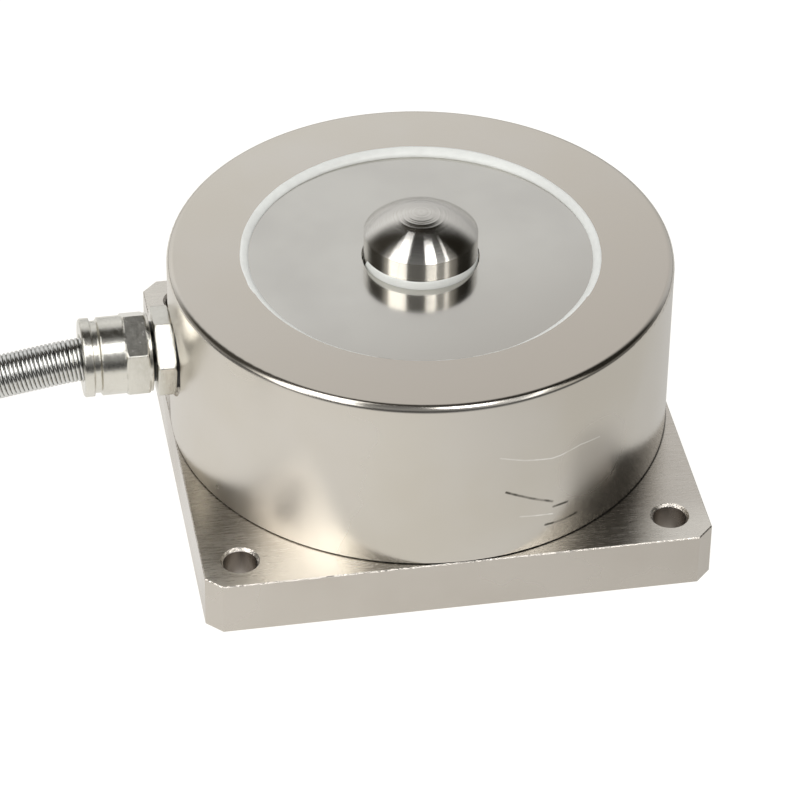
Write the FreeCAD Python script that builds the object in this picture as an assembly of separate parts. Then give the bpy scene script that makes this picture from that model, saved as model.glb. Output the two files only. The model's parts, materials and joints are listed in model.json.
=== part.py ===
import FreeCAD, Part
import math
import os

V = FreeCAD.Vector
UP = V(0, 0, 1)
TINY = 1e-6

# Low profile compression load cell on a square base plate, in millimetres.
# Origin: middle of the plate's underside. +Z is up, the cable leaves along -X.

# Sensing body: rim, hub and shear webs in one piece
body_dia = 100.0
body_height = 38.25
body_rim_round = 1.4
body_foot_edge = 0.3
rim_wall = 18.0
hub_dia = 28.0
hub_top_gap = 0.5
hub_bottom_gap = 1.5
web_count = 4
web_thick = 6.0
web_corner = 4.0
web_over_gap = 4.0
web_under_gap = 4.0

# Base plate, as wide as the body
plate_thick = 11.25
plate_corner = 3.1
plate_edge = 0.2
mount_inset = 7.5
mount_hole_dia = 6.6
mount_hole_edge = 0.55

# Screws and seal between plate and body
screw_count = 8
screw_dia = 6.0
screw_reach = 11.35
screw_head_dia = 10.0
screw_head_height = 6.0
screw_head_sink = 0.6
screw_key_flats = 5.0
screw_key_depth = 3.0
screw_clear = 0.3
screw_head_clear = 0.5
screw_hole_spare = 2.0
screw_land = 0.8
o_ring_section = 2.0
o_ring_squeeze = 0.3
o_ring_flat = 1.0
o_ring_side_clear = 0.3
o_ring_land = 0.8

# Covers and sealant
cover_seat_ledge = 3.3
cover_drop = 0.8
cover_thick = 2.0
cover_edge_gap = 1.1
cover_button_gap = 0.4
cover_seal_lap = 0.25
cover_seal_crest = 0.35
cover_seal_shoulder = 0.28
cover_seal_hollow = 0.09
button_seal_foot = 0.75
button_seal_rise = 1.65
button_seal_fullness = 0.42
bottom_cover_ledge = 2.5
bottom_cover_thick = 1.5
bottom_cover_lift = 0.2
bottom_cover_clear = 0.1

# Load button
button_dia = 22.5
button_height = 5.15
button_edge = 0.15
dome_radius = 16.0
stud_dia = 12.0
stud_length = 18.0
stud_edge = 1.0
stud_hole_spare = 2.0

# Gauges and wiring
gauge_width = 4.0
gauge_height = 8.0
gauge_thick = 0.3
harness_width = 2.4
harness_thick = 0.8
lead_dia = 0.9
board_hub_gap = 3.0
board_wall_gap = 2.0
board_half_angle = 26.0
board_thick = 1.6
core_count = 4
core_dia = 1.1
core_spacing = 1.25
core_drop_inset = 6.0
jacket_end_inset = 0.7

# Cable gland, measured outwards from its seat on the body
gland_rise = 20.05
gland_seat_depth = 0.8
gland_seat_dia = 18.8
gland_thread_dia = 12.0
gland_port_clear = 0.1
gland_shank_length = 12.0
gland_hex_flats = 15.4
gland_hex_corner_cut = 0.6
gland_hex_length = 3.7
gland_hex_turn = 12.0
gland_washer_dia = 15.2
gland_washer_thick = 0.5
gland_neck_length = 7.2
nut_gap = 0.8
nut_flange_dia = 15.6
nut_flange_length = 0.65
nut_hex_length = 4.55
nut_hex_turn = 32.0
nut_barrel_dia = 15.5
nut_barrel_length = 4.7
nut_groove_dia = 14.3
nut_groove_length = 1.65
nut_groove_edge = 0.4
nut_collar_dia = 15.6
nut_collar_length = 2.0
nut_collar_edge = 0.3
nut_thread_clear = 0.1
grommet_length = 4.1
grommet_dia = 9.6
clamp_ring_thick = 1.0
clamp_ring_clear = 0.15

# Cable and spring guard
cable_dia = 5.4
cable_bore_clear = 0.2
guard_dia = 9.0
guard_wire_dia = 0.83
guard_bore_clear = 0.3
guard_runs = 5
# Share of the shorter of two runs that the bend between them takes up
bend_share = 0.45

# Route of the cable: distance out from the gland's inner seat, sideways shift, drop below the gland
guard_route = [(0, 0, 0), (5.6, 0, 0), (16.6, 0, 1.65), (34.4, 0.4, 5.1), (54.4, 1.2, 10.7)]
# Then height of the cable's middle above the floor
floor_route = [(72.4, 3.5, 13.2), (86.9, 12.2, 6.6)]
last_run = 13.4

# Coil of put-away cable, and the free end beside it
coil_along = 128.4
coil_aside = -8.0
coil_mid_dia = 59.4
coil_layers = 4
coil_turn_gap = 0.05
coil_entry_angle = 64.0
coil_corner = 2.4
tie_width = 5.0
tie_thick = 1.2
tie_angle = 180.0
# Tail: distance along +X from the coil, sideways shift, height of the middle
tail_route = [(11.5, 0.1, 17.9), (25, 0.3, 12.6), (37.5, 0.5, 6.5), (48.5, 0.6, 3.0), (59, 0.6, 3.0)]
sleeve_dia = 6.0
sleeve_length = 13.0
sleeve_taper = 3.0
sleeve_mouth_dia = 4.4
flying_core_dia = 1.3
flying_core_pitch = 1.4
flying_core_fan = 2.4
# Flying leads: distance from the sleeve, share of the fan, share of the height they start at
flying_core_route = [(0, 0, 1), (6, 0, 1), (12, 0.5, 0.2), (20, 1, 0)]

# Levels and places that follow from the sizes above
plate_side = body_dia
mount_spacing = plate_side - 2 * mount_inset
chamber_dia = body_dia - 2 * rim_wall
cover_seat_dia = chamber_dia + 2 * cover_seat_ledge
bottom_cover_seat_dia = chamber_dia + 2 * bottom_cover_ledge
groove_width = o_ring_section + 2 * o_ring_side_clear
o_ring_dia = bottom_cover_seat_dia + 2 * o_ring_land + groove_width
screw_hole_dia = screw_dia + 2 * screw_clear
screw_sink_dia = screw_head_dia + 2 * screw_head_clear
screw_circle_dia = o_ring_dia + groove_width + 2 * screw_land + screw_hole_dia
body_low = plate_thick
body_top = plate_thick + body_height
cover_ledge = body_top - cover_drop - cover_thick
cover_top = body_top - cover_drop
hub_top = cover_ledge - hub_top_gap
chamber_floor = body_low + bottom_cover_lift + bottom_cover_thick
hub_low = chamber_floor + hub_bottom_gap
web_top = cover_ledge - web_over_gap
web_low = chamber_floor + web_under_gap
web_mid = (web_top + web_low) / 2
button_edge_z = body_top + button_height
gland_z = plate_thick + gland_rise
gland_seat = body_dia / 2 - gland_seat_depth
hex_start = gland_washer_thick
hex_end = hex_start + gland_hex_length
neck_end = hex_end + gland_neck_length
guard_seat = neck_end + clamp_ring_thick
nut_start = hex_end + nut_gap
nut_hex_start = nut_start + nut_flange_length
nut_hex_end = nut_hex_start + nut_hex_length
nut_barrel_end = nut_hex_end + nut_barrel_length
nut_groove_end = nut_barrel_end + nut_groove_length
nut_end = nut_groove_end + nut_collar_length
cable_bore = cable_dia / 2 + cable_bore_clear
floor_rest = cable_dia / 2
turn_pitch = cable_dia + coil_turn_gap
bundle = coil_layers * turn_pitch
outer_turn = coil_mid_dia / 2 + (coil_layers - 1) / 2 * turn_pitch
route_start_x = -(gland_seat + guard_seat)
coil_centre = V(route_start_x - coil_along, coil_aside, 0)
gauge_radius = (chamber_dia + hub_dia) / 4
board_inner = hub_dia / 2 + board_hub_gap
board_outer = chamber_dia / 2 - board_wall_gap
core_drop_radius = chamber_dia / 2 - core_drop_inset
jacket_end_radius = chamber_dia / 2 + jacket_end_inset


def outline(start, *moves):
    """Closed face in the XZ plane: (r, z) is a straight move, ((r, z), (r, z)) an arc by way of a point."""
    edges = []
    here = V(start[0], 0, start[1])
    for move in moves + (start,):
        if isinstance(move[0], tuple):
            middle = V(move[0][0], 0, move[0][1])
            there = V(move[1][0], 0, move[1][1])
            edges.append(Part.Arc(here, middle, there).toShape())
        else:
            there = V(move[0], 0, move[1])
            if there.distanceToPoint(here) > TINY:
                edges.append(Part.LineSegment(here, there).toShape())
        here = there
    return Part.Face(Part.Wire(edges))


def turned(start, *moves):
    """Solid turned about the Z axis from half of its section."""
    return outline(start, *moves).revolve(V(0, 0, 0), UP, 360)


def disc(dia, low, high, x=0.0, y=0.0):
    """Round bar or hole along Z between two heights."""
    return Part.makeCylinder(dia / 2, high - low, V(x, y, low), UP)


def ring(outer_dia, inner_dia, low, high):
    return disc(outer_dia, low, high).cut(disc(inner_dia, low, high))


def around(count, first_angle=0.0):
    """Angles of an even pattern round the Z axis."""
    return [first_angle + 360.0 / count * k for k in range(count)]


def turned_to(shape, angle):
    copy = shape.copy()
    copy.rotate(V(0, 0, 0), UP, angle)
    return copy


def one(shape):
    """The single solid of a boolean result."""
    solids = shape.removeSplitter().Solids
    if len(solids) != 1:
        raise ValueError("expected one solid, got %d" % len(solids))
    return solids[0]


def to_gland(shape):
    """Stand a shape that was made along +Z on the gland's seat, pointing out of the body."""
    copy = shape.copy()
    copy.rotate(V(0, 0, 0), V(0, 1, 0), -90)
    copy.translate(V(-gland_seat, 0, gland_z))
    return copy


def upright_edges(shape):
    return [e for e in shape.Edges if e.BoundBox.XLength < TINY and e.BoundBox.YLength < TINY]


def across_corners(flats):
    return flats / math.cos(math.radians(30))


def hex_bar(flats, low, high, turn=0.0):
    """Plain hexagonal bar or socket along Z."""
    radius = across_corners(flats) / 2
    points = []
    for angle in around(6, turn + 30):
        points.append(V(radius * math.cos(math.radians(angle)), radius * math.sin(math.radians(angle)), low))
    return Part.Face(Part.makePolygon(points + points[:1])).extrude(V(0, 0, high - low))


def hexagon(flats, low, high, turn):
    """Hexagonal length of bar whose corners are turned down at both ends."""
    corner = across_corners(flats) / 2
    cut = gland_hex_corner_cut
    rise = cut * math.tan(math.radians(30))
    rounding = turned(
        (0, low), (corner - cut, low), (corner, low + rise), (corner, high - rise), (corner - cut, high),
        (0, high)
    )
    return hex_bar(flats, low, high, turn).common(rounding)


def rounded_path(points):
    """Straight runs joined by the largest arcs that they leave room for, and the arcs' radii."""
    edges = []
    radii = []
    here = points[0]
    for before, corner, after in zip(points, points[1:], points[2:]):
        back = (before - corner).normalize()
        ahead = (after - corner).normalize()
        half_turn = (math.pi - back.getAngle(ahead)) / 2
        cut = bend_share * min(corner.distanceToPoint(before), corner.distanceToPoint(after))
        radius = cut / math.tan(half_turn)
        enter = corner + back * cut
        leave = corner + ahead * cut
        inward = (back + ahead).normalize()
        middle = corner + inward * (radius / math.cos(half_turn) - radius)
        edges.append(Part.LineSegment(here, enter).toShape())
        edges.append(Part.Arc(enter, middle, leave).toShape())
        radii.append(radius)
        here = leave
    edges.append(Part.LineSegment(here, points[-1]).toShape())
    return edges, radii


def tube(edges, dia):
    """Round bar swept along edges that join end to end."""
    path = Part.Wire(edges)
    start = edges[0].valueAt(edges[0].FirstParameter)
    ahead = edges[0].tangentAt(edges[0].FirstParameter)
    section = Part.Face(Part.Wire([Part.Circle(start, ahead, dia / 2).toShape()]))
    return path.makePipe(section).Solids[0]


def screw_places():
    radius = screw_circle_dia / 2
    for angle in around(screw_count, 180.0 / screw_count):
        yield radius * math.cos(math.radians(angle)), radius * math.sin(math.radians(angle))


def base_plate():
    half = plate_side / 2
    plate = Part.makeBox(plate_side, plate_side, plate_thick, V(-half, -half, 0))
    plate = plate.makeChamfer(plate_corner, upright_edges(plate))
    top_edges = [e for e in plate.Edges if e.BoundBox.ZMin > plate_thick - plate_edge]
    plate = plate.makeChamfer(plate_edge, top_edges)
    hole = mount_hole_dia / 2
    wide = hole + mount_hole_edge
    drill = turned(
        (0, 0), (hole, 0), (hole, plate_thick - mount_hole_edge), (wide, plate_thick), (0, plate_thick)
    )
    cutters = []
    for x in (-mount_spacing / 2, mount_spacing / 2):
        for y in (-mount_spacing / 2, mount_spacing / 2):
            cutters.append(drill.translated(V(x, y, 0)))
    for x, y in screw_places():
        cutters.append(disc(screw_sink_dia, 0, screw_head_sink + screw_head_height, x, y))
        cutters.append(disc(screw_hole_dia, 0, plate_thick, x, y))
    groove_floor = plate_thick - o_ring_section + o_ring_squeeze
    cutters.append(ring(o_ring_dia + groove_width, o_ring_dia - groove_width, groove_floor, plate_thick))
    return one(plate.cut(cutters))


def plate_screws():
    seat = screw_head_sink + screw_head_height
    head = disc(screw_head_dia, screw_head_sink, seat)
    shank = disc(screw_dia, seat, body_low + screw_reach)
    key = hex_bar(screw_key_flats, screw_head_sink, screw_head_sink + screw_key_depth)
    screw = one(head.fuse(shank).cut(key))
    return Part.makeCompound([screw.translated(V(x, y, 0)) for x, y in screw_places()])


def plate_o_ring():
    """Squeezed between groove floor and body, so its section is a flattened round."""
    low = plate_thick - o_ring_section + o_ring_squeeze
    high = plate_thick
    middle = (low + high) / 2
    centre = o_ring_dia / 2
    flat = o_ring_flat / 2
    half = o_ring_section / 2
    return turned(
        (centre - flat, low), (centre + flat, low), ((centre + half, middle), (centre + flat, high)),
        (centre - flat, high), ((centre - half, middle), (centre - flat, low))
    )


def web_window(angle):
    """Opening between two neighbouring webs, with rounded corners."""
    outer = chamber_dia / 2
    inner = hub_dia / 2
    half_web = web_thick / 2
    half_gap = math.pi / web_count
    corners = []
    for radius, side in ((outer, -1), (outer, 1), (inner, 1), (inner, -1)):
        turn = side * (half_gap - math.asin(half_web / radius))
        corners.append(V(radius * math.cos(turn), radius * math.sin(turn), web_low))
    a, b, c, d = corners
    edges = [
        Part.Arc(a, V(outer, 0, web_low), b).toShape(),
        Part.LineSegment(b, c).toShape(),
        Part.Arc(c, V(inner, 0, web_low), d).toShape(),
        Part.LineSegment(d, a).toShape(),
    ]
    window = Part.Face(Part.Wire(edges)).extrude(V(0, 0, web_top - web_low))
    return turned_to(window.makeFillet(web_corner, upright_edges(window)), angle)


def sensing_body():
    radius = body_dia / 2
    low = body_low
    top = body_top
    curve = body_rim_round * (1 - math.sqrt(0.5))
    body = turned(
        (0, low), (radius - body_foot_edge, low), (radius, low + body_foot_edge),
        (radius, top - body_rim_round), ((radius - curve, top - curve), (radius - body_rim_round, top)),
        (0, top)
    )
    cutters = [
        disc(cover_seat_dia, cover_ledge, top),
        disc(hub_dia, hub_top, cover_ledge),
        ring(chamber_dia, hub_dia, web_top, cover_ledge),
        ring(chamber_dia, hub_dia, chamber_floor, web_low),
        disc(hub_dia, chamber_floor, hub_low),
        disc(bottom_cover_seat_dia, low, chamber_floor),
        disc(stud_dia, hub_top - stud_length - stud_hole_spare, hub_top),
    ]
    for angle in around(web_count):
        cutters.append(web_window(angle))
    hole_top = low + screw_reach + screw_hole_spare
    for x, y in screw_places():
        cutters.append(disc(screw_dia, low, hole_top, x, y))
    port = gland_thread_dia + 2 * gland_port_clear
    cutters.append(to_gland(disc(port, chamber_dia / 2 - gland_thread_dia - gland_seat, gland_seat_depth)))
    cutters.append(to_gland(disc(gland_seat_dia, 0, 2 * gland_seat_depth)))
    return one(body.cut(cutters))


def load_button():
    half = button_dia / 2
    edge = button_edge_z - button_edge
    dome_foot = half - button_edge
    centre_z = button_edge_z - math.sqrt(dome_radius ** 2 - dome_foot ** 2)
    mid_r = dome_foot / 2
    mid_z = centre_z + math.sqrt(dome_radius ** 2 - mid_r ** 2)
    stud = stud_dia / 2
    stud_end = hub_top - stud_length
    return turned(
        (0, stud_end), (stud - stud_edge, stud_end), (stud, stud_end + stud_edge), (stud, hub_top),
        (half, hub_top), (half, edge), (dome_foot, button_edge_z),
        ((mid_r, mid_z), (0, centre_z + dome_radius))
    )


def top_cover():
    outer = cover_seat_dia - 2 * cover_edge_gap
    inner = button_dia + 2 * cover_button_gap
    return ring(outer, inner, cover_ledge, cover_top)


def cover_seal():
    """Bead that fills the slit round the cover and laps on to the rim."""
    inner = cover_seat_dia / 2 - cover_edge_gap
    outer = cover_seat_dia / 2
    lap = outer + cover_seal_lap
    crest_r = outer - cover_seal_lap
    crest_z = body_top + cover_seal_crest
    slope_r = (inner + crest_r) / 2 + cover_seal_hollow
    slope_z = (cover_top + crest_z) / 2 - cover_seal_hollow
    shoulder_z = body_top + cover_seal_shoulder
    return turned(
        (inner, cover_ledge), (outer, cover_ledge), (outer, body_top), (lap, body_top),
        ((outer, shoulder_z), (crest_r, crest_z)), ((slope_r, slope_z), (inner, cover_top))
    )


def button_seal():
    """Fillet of sealant between the cover and the button's wall."""
    wall = button_dia / 2
    hole = wall + cover_button_gap
    foot = wall + button_seal_foot
    top = cover_top + button_seal_rise
    full = button_seal_fullness
    middle = (wall + button_seal_foot * full, cover_top + button_seal_rise * full)
    return turned(
        (wall, cover_ledge), (hole, cover_ledge), (hole, cover_top), (foot, cover_top), (middle, (wall, top))
    )


def bottom_cover():
    dia = bottom_cover_seat_dia - 2 * bottom_cover_clear
    return disc(dia, body_low + bottom_cover_lift, chamber_floor)


def web_angles():
    return around(web_count, 180.0 / web_count)


def strain_gauges():
    pads = []
    for angle in web_angles():
        for side in (-1, 1):
            near = side * web_thick / 2
            low_y = min(near, near + side * gauge_thick)
            corner = V(gauge_radius - gauge_width / 2, low_y, web_mid - gauge_height / 2)
            pads.append(turned_to(Part.makeBox(gauge_width, gauge_thick, gauge_height, corner), angle))
    return Part.makeCompound(pads)


def bridge_board():
    """Arc-shaped terminal board on the bottom cover, facing the cable's entry."""
    sector = 2 * board_half_angle
    high = chamber_floor + board_thick
    section = outline(
        (board_inner, chamber_floor), (board_outer, chamber_floor), (board_outer, high), (board_inner, high)
    )
    return turned_to(section.revolve(V(0, 0, 0), UP, sector), 180 - board_half_angle)


def gauge_harness():
    """Flat ring of wiring from one edge of the board to the other, with a riser up each side of each web."""
    inner = gauge_radius - harness_width / 2
    outer = gauge_radius + harness_width / 2
    top = chamber_floor + harness_thick
    section = outline((inner, chamber_floor), (outer, chamber_floor), (outer, top), (inner, top))
    loop = turned_to(section.revolve(V(0, 0, 0), UP, 360 - 2 * board_half_angle), 180 + board_half_angle)
    riser_top = web_mid - gauge_height / 2
    offset = (web_thick + lead_dia) / 2
    along = math.sqrt(gauge_radius ** 2 - offset ** 2)
    risers = []
    for angle in web_angles():
        for side in (-offset, offset):
            risers.append(turned_to(disc(lead_dia, top, riser_top, along, side), angle))
    return one(loop.fuse(risers))


def entry_cores():
    """Cores from the end of the cable's jacket down to the board."""
    cores = []
    for k in range(core_count):
        y = (k - (core_count - 1) / 2) * core_spacing
        points = [
            V(-jacket_end_radius, y, gland_z),
            V(-core_drop_radius, y, gland_z),
            V(-core_drop_radius, y, chamber_floor + board_thick),
        ]
        cores.append(tube(rounded_path(points)[0], core_dia))
    return Part.makeCompound(cores)


def gland_body():
    thread = gland_thread_dia
    shape = disc(thread, -gland_shank_length, neck_end)
    shape = shape.fuse(hexagon(gland_hex_flats, hex_start, hex_end, gland_hex_turn))
    bore = disc(2 * cable_bore, -gland_shank_length, neck_end)
    pocket = disc(grommet_dia, neck_end - grommet_length, neck_end)
    return to_gland(one(shape.cut([bore, pocket])))


def gland_washer():
    return to_gland(ring(gland_washer_dia, gland_thread_dia, 0, gland_washer_thick))


def gland_grommet():
    return to_gland(ring(grommet_dia, cable_dia, neck_end - grommet_length, neck_end))


def clamp_ring():
    return to_gland(ring(gland_thread_dia - 2 * clamp_ring_clear, 2 * cable_bore, neck_end, guard_seat))


def gland_nut():
    barrel = nut_barrel_dia / 2
    groove = nut_groove_dia / 2
    collar = nut_collar_dia / 2
    slope = nut_groove_edge
    shape = turned(
        (0, nut_hex_end), (barrel, nut_hex_end), (barrel, nut_barrel_end), (groove, nut_barrel_end + slope),
        (groove, nut_groove_end), (collar, nut_groove_end), (collar, nut_end - nut_collar_edge),
        (collar - nut_collar_edge, nut_end), (0, nut_end)
    )
    shape = shape.fuse(disc(nut_flange_dia, nut_start, nut_hex_start))
    shape = shape.fuse(hexagon(gland_hex_flats, nut_hex_start, nut_hex_end, nut_hex_turn))
    thread = disc(gland_thread_dia + 2 * nut_thread_clear, nut_start, guard_seat)
    mouth = disc(guard_dia + 2 * guard_bore_clear, guard_seat, nut_end)
    return to_gland(one(shape.cut([thread, mouth])))


def cable_entry():
    return to_gland(disc(cable_dia, jacket_end_radius - gland_seat, guard_seat))


def entry_point():
    """Where the cable joins the coil's outermost turn, and its direction there."""
    angle = math.radians(coil_entry_angle)
    place = coil_centre + V(outer_turn * math.cos(angle), outer_turn * math.sin(angle), floor_rest)
    return place, V(-math.sin(angle), math.cos(angle), 0)


def cable_points():
    points = [V(route_start_x - along, aside, gland_z - drop) for along, aside, drop in guard_route]
    points += [V(route_start_x - along, aside, height) for along, aside, height in floor_route]
    place, direction = entry_point()
    return points + [place - direction * last_run, place]


def tail_points():
    start = coil_centre + V(0, -outer_turn, (coil_layers - 0.5) * turn_pitch)
    points = [start]
    for along, aside, height in tail_route:
        points.append(V(start.x + along, start.y + aside, height))
    return points


def spring_guard(edges):
    """Close-wound guard as a plain sleeve over the first runs of the cable."""
    covered = edges[:2 * guard_runs - 1]
    return one(tube(covered, guard_dia).cut(tube(covered, guard_dia - 2 * guard_wire_dia)))


def coil_section(inset):
    """Section through all turns of the coil at once, set in by a margin on every side."""
    inner = coil_mid_dia / 2 - bundle / 2 + inset
    outer = coil_mid_dia / 2 + bundle / 2 - inset
    low = inset
    high = bundle - inset
    round_ = coil_corner
    bite = round_ * (1 - math.sqrt(0.5))
    return outline(
        (inner + round_, low), (outer - round_, low), ((outer - bite, low + bite), (outer, low + round_)),
        (outer, high - round_), ((outer - bite, high - bite), (outer - round_, high)), (inner + round_, high),
        ((inner + bite, high - bite), (inner, high - round_)), (inner, low + round_),
        ((inner + bite, low + bite), (inner + round_, low))
    )


def coil_tie():
    across = V(0, tie_width, 0)
    strap = coil_section(0).extrude(across).cut(coil_section(tie_thick).extrude(across))
    strap.translate(across * -0.5)
    strap = turned_to(strap, tie_angle)
    strap.translate(coil_centre)
    return one(strap)


def cable_coil(tie, run, tail):
    """Outer shape of the wound coil, pinched by its tie and open where the cable goes in and out."""
    coil = coil_section(0).revolve(V(0, 0, 0), UP, 360)
    coil.translate(coil_centre)
    window = Part.makeBox(coil_mid_dia, tie_width, bundle, V(0, -tie_width / 2, 0))
    window = turned_to(window, tie_angle).translated(coil_centre)
    core = coil_section(tie_thick).revolve(V(0, 0, 0), UP, 360)
    core.translate(coil_centre)
    waist = coil.common(window).cut(core)
    return max(coil.cut([waist, tie, run, tail]).Solids, key=lambda solid: solid.Volume)


def end_sleeve(start):
    half = sleeve_dia / 2
    mouth = sleeve_mouth_dia / 2
    straight = sleeve_length - sleeve_taper
    sleeve = turned((0, 0), (half, 0), (half, straight), (mouth, sleeve_length), (0, sleeve_length))
    sleeve.rotate(V(0, 0, 0), V(0, 1, 0), 90)
    return sleeve.translated(start)


def end_cores(start):
    """Flying leads that fan out on to the floor."""
    rest = flying_core_dia / 2
    cores = []
    for k in range(core_count):
        place = k - (core_count - 1) / 2
        x = start.x + sleeve_length
        y = start.y + place * flying_core_pitch / 2
        lift = start.z + (rest if k % 2 else -rest) - rest
        points = []
        for reach, fan, height in flying_core_route:
            points.append(V(x + reach, y + fan * place * flying_core_fan, rest + height * lift))
        cores.append(tube(rounded_path(points)[0], flying_core_dia))
    return Part.makeCompound(cores)


def build():
    run_edges, run_radii = rounded_path(cable_points())
    tail = tail_points()
    tail_edges, tail_radii = rounded_path(tail)
    print("run bend radii", [round(r, 1) for r in run_radii])
    print("tail bend radii", [round(r, 1) for r in tail_radii])
    run = tube(run_edges, cable_dia)
    tail_tube = tube(tail_edges, cable_dia)
    tie = coil_tie()
    return {
        "base_plate": base_plate(),
        "plate_screws": plate_screws(),
        "plate_o_ring": plate_o_ring(),
        "sensing_body": sensing_body(),
        "load_button": load_button(),
        "top_cover": top_cover(),
        "cover_seal": cover_seal(),
        "button_seal": button_seal(),
        "bottom_cover": bottom_cover(),
        "strain_gauges": strain_gauges(),
        "bridge_board": bridge_board(),
        "gauge_harness": gauge_harness(),
        "entry_cores": entry_cores(),
        "gland_body": gland_body(),
        "gland_washer": gland_washer(),
        "gland_grommet": gland_grommet(),
        "clamp_ring": clamp_ring(),
        "gland_nut": gland_nut(),
        "cable_entry": cable_entry(),
        "spring_guard": spring_guard(run_edges),
        "cable_run": run,
        "cable_coil": cable_coil(tie, run, tail_tube),
        "coil_tie": tie,
        "cable_tail": tail_tube,
        "end_sleeve": end_sleeve(tail[-1]),
        "end_cores": end_cores(tail[-1]),
    }


os.makedirs("parts", exist_ok=True)
for node, shape in build().items():
    shape.exportStep("parts/%s.step" % node)
    state = "valid" if shape.isValid() else "NOT VALID"
    print(node, len(shape.Solids), "solids", round(shape.Volume, 1), "mm3", state)
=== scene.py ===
# %% [markdown]
# # A low profile load cell
# A load cell of this kind is a thick steel disc that is screwed to a square plate. A domed button in its
# middle takes the load, and a signal cable leaves through a gland in its side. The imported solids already
# have the right shape and size, so this lesson adds the camera, the cable, the wound and poured pieces,
# the finishes and the light.

import json
import math

import bpy
from mathutils import Matrix, Quaternion, Vector

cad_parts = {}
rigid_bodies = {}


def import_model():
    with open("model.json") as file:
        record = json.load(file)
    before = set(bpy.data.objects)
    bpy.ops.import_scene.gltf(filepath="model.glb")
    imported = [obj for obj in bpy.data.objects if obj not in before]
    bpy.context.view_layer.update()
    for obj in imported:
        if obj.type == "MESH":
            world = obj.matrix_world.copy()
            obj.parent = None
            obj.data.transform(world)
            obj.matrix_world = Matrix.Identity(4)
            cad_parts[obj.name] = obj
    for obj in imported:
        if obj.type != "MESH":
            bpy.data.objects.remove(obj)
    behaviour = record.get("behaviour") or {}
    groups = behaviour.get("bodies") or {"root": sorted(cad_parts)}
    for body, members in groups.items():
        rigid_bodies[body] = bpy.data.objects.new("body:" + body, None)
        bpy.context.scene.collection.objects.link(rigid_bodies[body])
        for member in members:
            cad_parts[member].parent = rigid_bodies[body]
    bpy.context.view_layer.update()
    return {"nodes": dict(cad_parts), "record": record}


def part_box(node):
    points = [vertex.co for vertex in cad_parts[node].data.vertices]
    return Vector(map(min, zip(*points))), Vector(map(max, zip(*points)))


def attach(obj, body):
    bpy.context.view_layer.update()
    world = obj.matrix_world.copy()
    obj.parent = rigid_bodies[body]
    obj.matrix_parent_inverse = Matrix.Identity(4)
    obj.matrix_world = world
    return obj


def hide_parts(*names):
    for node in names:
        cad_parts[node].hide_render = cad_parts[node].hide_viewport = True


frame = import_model()
nodes = frame["nodes"]
MM = 0.001
bpy.ops.object.select_all(action="DESELECT")

# %% [markdown]
# ## Camera
# The picture is taken from the front, a little to the left and about 38 degrees above the table, with a
# long lens. A long lens keeps the square plate nearly parallel. The camera is built from those few angles,
# so that each of them can be tried by itself.

# %% Place the camera
view_azimuth = math.radians(-10.571)
view_elevation = math.radians(38.101)
view_roll = math.radians(0.892)
view_distance = 833.603 * MM
view_target = Vector((-4.781, -6.003, 17.618)) * MM
lens_mm = 187.42

toward_camera = Vector((
    math.sin(view_azimuth) * math.cos(view_elevation),
    -math.cos(view_azimuth) * math.cos(view_elevation),
    math.sin(view_elevation),
))
level_right = Vector((0, 0, 1)).cross(toward_camera).normalized()
level_up = toward_camera.cross(level_right)
right = level_right * math.cos(view_roll) + level_up * math.sin(view_roll)
up = level_up * math.cos(view_roll) - level_right * math.sin(view_roll)
bpy.ops.object.camera_add(location=view_target + toward_camera * view_distance)
camera = bpy.context.object
camera.name = "camera"
camera.rotation_mode = "QUATERNION"
camera.rotation_quaternion = Matrix((right, up, toward_camera)).transposed().to_quaternion()
camera.data.lens = lens_mm
camera.data.clip_start = 0.01
bpy.context.scene.camera = camera
print("camera at", camera.location)

# %% [markdown]
# ## Signal cable
# The cable leaves the gland inside a wire guard, sinks to the table, and the rest of its three metres is
# put away as a neat coil beside the cell. One smooth curve holds the whole length: a given route first,
# then the coil's turns from a loop, then the free end. A curve with a round bevel is the simplest
# way to get a cable of even thickness.

# %% Route of the cable
cable_dia = 5.4 * MM
turn_pitch = 5.45 * MM
layer_count = 4
turns_a_layer = 4
coil_centre = Vector((-190.0, -8.0, 0.0)) * MM
coil_mid_radius = 29.7 * MM
coil_lowest = 2.7 * MM
coil_enter = math.radians(64.0)
coil_leave = math.radians(270.0)
tie_angle = math.radians(180.0)
tie_pinch = 0.115
pinch_reach = math.radians(16)
points_a_turn = 18

run_route = [
    (-61.6, 0, 31.3), (-67.2, 0, 31.3), (-78.2, 0, 29.65), (-96.0, 0.4, 26.2), (-116.0, 1.2, 20.6),
    (-134.0, 3.5, 13.2), (-148.5, 12.2, 6.6), (-161.35, 20.17, 2.7),
]
tail_route = [
    (-178.5, -45.775, 17.9), (-165.0, -45.575, 12.6), (-152.5, -45.375, 6.5), (-141.5, -45.275, 3.0),
    (-131.0, -45.275, 3.0),
]


def turn_place(index):
    """Radius and height of one turn: layers are wound from outside in, then from inside out."""
    layer, step = divmod(index, turns_a_layer)
    across = step if layer % 2 == 0 else turns_a_layer - 1 - step
    radius = coil_mid_radius + ((turns_a_layer - 1) / 2 - across) * turn_pitch
    return radius, coil_lowest + layer * turn_pitch


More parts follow.
